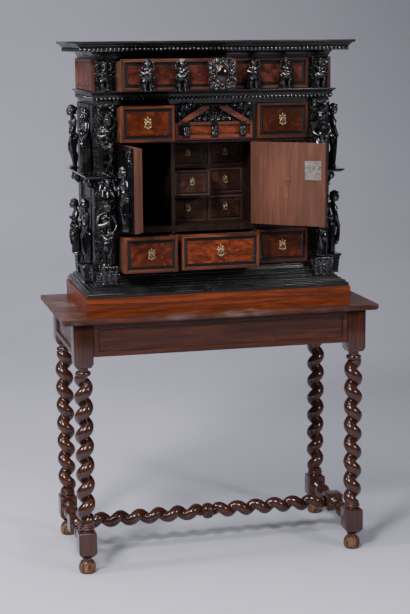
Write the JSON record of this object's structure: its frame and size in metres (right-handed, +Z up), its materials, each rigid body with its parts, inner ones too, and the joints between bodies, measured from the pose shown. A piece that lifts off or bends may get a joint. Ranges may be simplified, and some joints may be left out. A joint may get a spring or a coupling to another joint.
{
  "type": "vargueno cabinet on a stand",
  "caption": "Carved walnut and ebonised cabinet with small drawers, hinged doors and drop pulls, on a table with barley-twist legs and stretcher",
  "frame": {"origin": "on the floor, under the middle of the object as it stands with its doors open", "axes": "+Z up, the front faces -Y, +X to the right seen from the front"},
  "size_m": [0.966, 0.5149, 1.571],
  "materials": {
    "table_walnut": "dark walnut with an old wax polish",
    "plinth_walnut": "warm brown walnut, waxed",
    "cornice_walnut": "dark brown walnut, waxed",
    "case_dark": "ebonised and dark walnut boards",
    "carved_ebonised": "carved, dark, semi-gloss",
    "drawer_walnut": "burr walnut veneer with black ripple bands",
    "door_walnut": "walnut, plain inside and carved outside",
    "gilt_brass": "worn gilt",
    "lock_steel": "aged, mottled"
  },
  "bodies": {
    "case": {"apron_back": "table_walnut", "apron_front": "table_walnut", "apron_left": "table_walnut", "apron_right": "table_walnut", "back_board": "case_dark", "base_moulding": "plinth_walnut", "bay_dividers": "case_dark", "bed_moulding": "carved_ebonised", "corner_figures": "carved_ebonised", "figure_ledges": "carved_ebonised", "floor_board": "case_dark", "frieze_side_panels": "case_dark", "front_figures": "carved_ebonised", "front_stiles": "case_dark", "leg_back_left": "table_walnut", "leg_back_right": "table_walnut", "leg_front_left": "table_walnut", "leg_front_right": "table_walnut", "middle_cornice": "carved_ebonised", "nest_case": "case_dark", "panel_right": "door_walnut", "plinth": "plinth_walnut", "shelves": "case_dark", "side_figures": "carved_ebonised", "side_left": "case_dark", "side_panels": "case_dark", "side_right": "case_dark", "stretcher_left": "table_walnut", "stretcher_long": "table_walnut", "stretcher_right": "table_walnut", "table_top": "table_walnut", "top_cornice": "cornice_walnut"},
    "frieze_drawer_left": {"frieze_drawer_left": "drawer_walnut"},
    "frieze_drawer_right": {"frieze_drawer_right": "drawer_walnut"},
    "lower_drawer_left": {"lower_drawer_left": "drawer_walnut"},
    "lower_drawer_middle": {"lower_drawer_middle": "drawer_walnut"},
    "lower_drawer_right": {"lower_drawer_right": "drawer_walnut"},
    "pediment_drawer": {"pediment_drawer": "drawer_walnut"},
    "small_drawer_a1": {"small_drawer_a1": "drawer_walnut"},
    "small_drawer_a2": {"small_drawer_a2": "drawer_walnut"},
    "small_drawer_b1": {"small_drawer_b1": "drawer_walnut"},
    "small_drawer_b2": {"small_drawer_b2": "drawer_walnut"},
    "small_drawer_c1": {"small_drawer_c1": "drawer_walnut"},
    "small_drawer_c2": {"small_drawer_c2": "drawer_walnut"},
    "upper_drawer_left": {"upper_drawer_left": "drawer_walnut"},
    "upper_drawer_right": {"upper_drawer_right": "drawer_walnut"},
    "left_door": {"door_left": "door_walnut"},
    "middle_door": {"door_middle": "door_walnut", "door_lock_plate": "lock_steel"},
    "upper_drawer_left_pull": {"upper_drawer_left_pull": "gilt_brass"},
    "upper_drawer_right_pull": {"upper_drawer_right_pull": "gilt_brass"},
    "lower_drawer_left_pull": {"lower_drawer_left_pull": "gilt_brass"},
    "lower_drawer_middle_pull": {"lower_drawer_middle_pull": "gilt_brass"},
    "lower_drawer_right_pull": {"lower_drawer_right_pull": "gilt_brass"},
    "small_drawer_a1_pull": {"small_drawer_a1_pull": "gilt_brass"},
    "small_drawer_a2_pull": {"small_drawer_a2_pull": "gilt_brass"},
    "small_drawer_b1_pull": {"small_drawer_b1_pull": "gilt_brass"},
    "small_drawer_b2_pull": {"small_drawer_b2_pull": "gilt_brass"},
    "small_drawer_c1_pull": {"small_drawer_c1_pull": "gilt_brass"},
    "small_drawer_c2_pull": {"small_drawer_c2_pull": "gilt_brass"}
  },
  "joints": [
    {"name": "frieze_drawer_left_slide", "type": "slide", "parent": "case", "child": "frieze_drawer_left", "axis": [0, -1, 0], "range_m": [-0.088, 0.112]},
    {"name": "frieze_drawer_right_slide", "type": "slide", "parent": "case", "child": "frieze_drawer_right", "axis": [0, -1, 0], "range_m": [0, 0.2]},
    {"name": "lower_drawer_left_slide", "type": "slide", "parent": "case", "child": "lower_drawer_left", "axis": [0, -1, 0], "range_m": [-0.084, 0.116]},
    {"name": "lower_drawer_middle_slide", "type": "slide", "parent": "case", "child": "lower_drawer_middle", "axis": [0, -1, 0], "range_m": [-0.07, 0.13]},
    {"name": "lower_drawer_right_slide", "type": "slide", "parent": "case", "child": "lower_drawer_right", "axis": [0, -1, 0], "range_m": [0, 0.2]},
    {"name": "pediment_drawer_slide", "type": "slide", "parent": "case", "child": "pediment_drawer", "axis": [0, -1, 0], "range_m": [0, 0.2]},
    {"name": "small_drawer_a1_slide", "type": "slide", "parent": "case", "child": "small_drawer_a1", "axis": [0, -1, 0], "range_m": [0, 0.09]},
    {"name": "small_drawer_a2_slide", "type": "slide", "parent": "case", "child": "small_drawer_a2", "axis": [0, -1, 0], "range_m": [0, 0.09]},
    {"name": "small_drawer_b1_slide", "type": "slide", "parent": "case", "child": "small_drawer_b1", "axis": [0, -1, 0], "range_m": [-0.056, 0.034]},
    {"name": "small_drawer_b2_slide", "type": "slide", "parent": "case", "child": "small_drawer_b2", "axis": [0, -1, 0], "range_m": [0, 0.09]},
    {"name": "small_drawer_c1_slide", "type": "slide", "parent": "case", "child": "small_drawer_c1", "axis": [0, -1, 0], "range_m": [0, 0.09]},
    {"name": "small_drawer_c2_slide", "type": "slide", "parent": "case", "child": "small_drawer_c2", "axis": [0, -1, 0], "range_m": [0, 0.09]},
    {"name": "upper_drawer_left_slide", "type": "slide", "parent": "case", "child": "upper_drawer_left", "axis": [0, -1, 0], "range_m": [-0.06, 0.14]},
    {"name": "upper_drawer_right_slide", "type": "slide", "parent": "case", "child": "upper_drawer_right", "axis": [0, -1, 0], "range_m": [0, 0.2]},
    {"name": "left_door_hinge", "type": "hinge", "parent": "case", "child": "left_door", "pos_m": [-0.293, -0.0885, 1.151], "axis": [0, 0, -1], "range_deg": [-85, 3]},
    {"name": "middle_door_hinge", "type": "hinge", "parent": "case", "child": "middle_door", "pos_m": [0.12, -0.0885, 1.151], "axis": [0, 0, 1], "range_deg": [-140, 5]},
    {"name": "upper_drawer_left_pull_swing", "type": "hinge", "parent": "upper_drawer_left", "child": "upper_drawer_left_pull", "pos_m": [-0.212, -0.1529, 1.34005], "axis": [-1, 0, 0], "range_deg": [0, 80]},
    {"name": "upper_drawer_right_pull_swing", "type": "hinge", "parent": "upper_drawer_right", "child": "upper_drawer_right_pull", "pos_m": [0.212, -0.0929, 1.34005], "axis": [-1, 0, 0], "range_deg": [0, 80]},
    {"name": "lower_drawer_left_pull_swing", "type": "hinge", "parent": "lower_drawer_left", "child": "lower_drawer_left_pull", "pos_m": [-0.212, -0.1769, 0.96205], "axis": [-1, 0, 0], "range_deg": [0, 80]},
    {"name": "lower_drawer_middle_pull_swing", "type": "hinge", "parent": "lower_drawer_middle", "child": "lower_drawer_middle_pull", "pos_m": [0, -0.1629, 0.96205], "axis": [-1, 0, 0], "range_deg": [0, 80]},
    {"name": "lower_drawer_right_pull_swing", "type": "hinge", "parent": "lower_drawer_right", "child": "lower_drawer_right_pull", "pos_m": [0.212, -0.0929, 0.96205], "axis": [-1, 0, 0], "range_deg": [0, 80]},
    {"name": "small_drawer_a1_pull_swing", "type": "hinge", "parent": "small_drawer_a1", "child": "small_drawer_a1_pull", "pos_m": [-0.0585, 0.0011, 1.24055], "axis": [-1, 0, 0], "range_deg": [0, 80]},
    {"name": "small_drawer_a2_pull_swing", "type": "hinge", "parent": "small_drawer_a2", "child": "small_drawer_a2_pull", "pos_m": [0.0585, 0.0011, 1.24055], "axis": [-1, 0, 0], "range_deg": [0, 80]},
    {"name": "small_drawer_b1_pull_swing", "type": "hinge", "parent": "small_drawer_b1", "child": "small_drawer_b1_pull", "pos_m": [-0.0585, -0.0549, 1.15655], "axis": [-1, 0, 0], "range_deg": [0, 80]},
    {"name": "small_drawer_b2_pull_swing", "type": "hinge", "parent": "small_drawer_b2", "child": "small_drawer_b2_pull", "pos_m": [0.0585, 0.0011, 1.15655], "axis": [-1, 0, 0], "range_deg": [0, 80]},
    {"name": "small_drawer_c1_pull_swing", "type": "hinge", "parent": "small_drawer_c1", "child": "small_drawer_c1_pull", "pos_m": [-0.0585, 0.0011, 1.07255], "axis": [-1, 0, 0], "range_deg": [0, 80]},
    {"name": "small_drawer_c2_pull_swing", "type": "hinge", "parent": "small_drawer_c2", "child": "small_drawer_c2_pull", "pos_m": [0.0585, 0.0011, 1.07255], "axis": [-1, 0, 0], "range_deg": [0, 80]}
  ]
}
